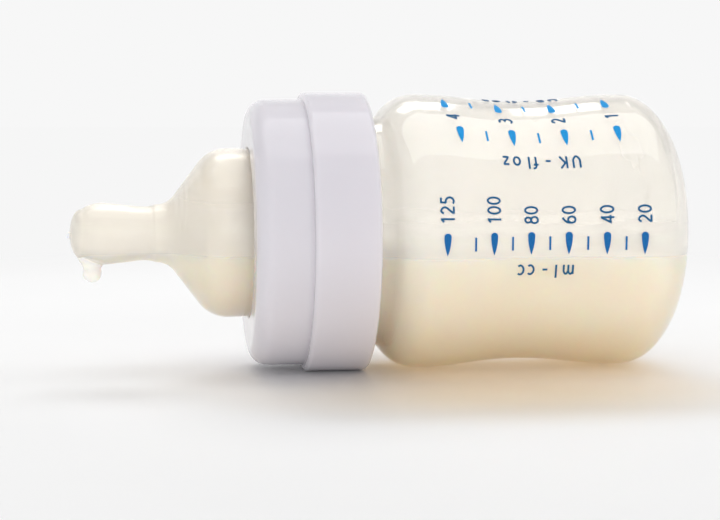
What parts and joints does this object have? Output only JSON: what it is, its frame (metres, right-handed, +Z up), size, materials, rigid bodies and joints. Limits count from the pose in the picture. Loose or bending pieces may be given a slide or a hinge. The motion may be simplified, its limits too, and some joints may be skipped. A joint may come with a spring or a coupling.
{
  "type": "baby bottle",
  "caption": "Waisted clear baby bottle lying on its side, with a stepped white screw ring, a clear silicone teat, blue printed scales, milk standing level in it and a drip on the nipple.",
  "frame": {"origin": "on the surface that it lies on, under the middle of its length", "axes": "+X along the bottle's axis towards its base, -X towards the teat, +Z up, scales on the -Y side"},
  "size_m": [0.1348, 0.062, 0.062],
  "materials": {
    "clear_plastic": "clear glossy polypropylene, very slightly hazy",
    "white_plastic": "glossy moulded white polypropylene",
    "silicone": "clear soft silicone, smooth, with a milk film",
    "milk": "liquid milk, opaque, warm cream",
    "deep_blue_ink": "printed ink, satin",
    "bright_blue_ink": "printed ink, satin",
    "blue_ink": "printed ink, satin"
  },
  "bodies": {
    "bottle": {"bottle_body": "clear_plastic", "milk_in_bottle": "milk", "ml_scale_marks": "deep_blue_ink", "ml_scale_numbers": "blue_ink", "ml_unit_words": "blue_ink", "fl_oz_numbers": "blue_ink", "uk_fl_oz_marks": "bright_blue_ink", "uk_fl_oz_words": "blue_ink", "us_fl_oz_marks": "bright_blue_ink", "us_fl_oz_words": "blue_ink"},
    "teat": {"teat": "silicone", "milk_in_teat": "milk", "milk_drip": "milk"},
    "ring": {"screw_ring": "white_plastic"}
  },
  "joints": [
    {"name": "head_lift", "type": "slide", "parent": "bottle", "child": "teat", "axis": [-1, 0, 0], "range_m": [0, 0.0076]},
    {"name": "ring_turn", "type": "hinge", "parent": "teat", "child": "ring", "pos_m": [-0.0226, 0, 0.031], "axis": [-1, 0, 0], "range_deg": [0, 540]}
  ],
  "couplings": [
    {"joint": "head_lift", "follows": "ring_turn", "m_per_rad": 0.00079577}
  ]
}
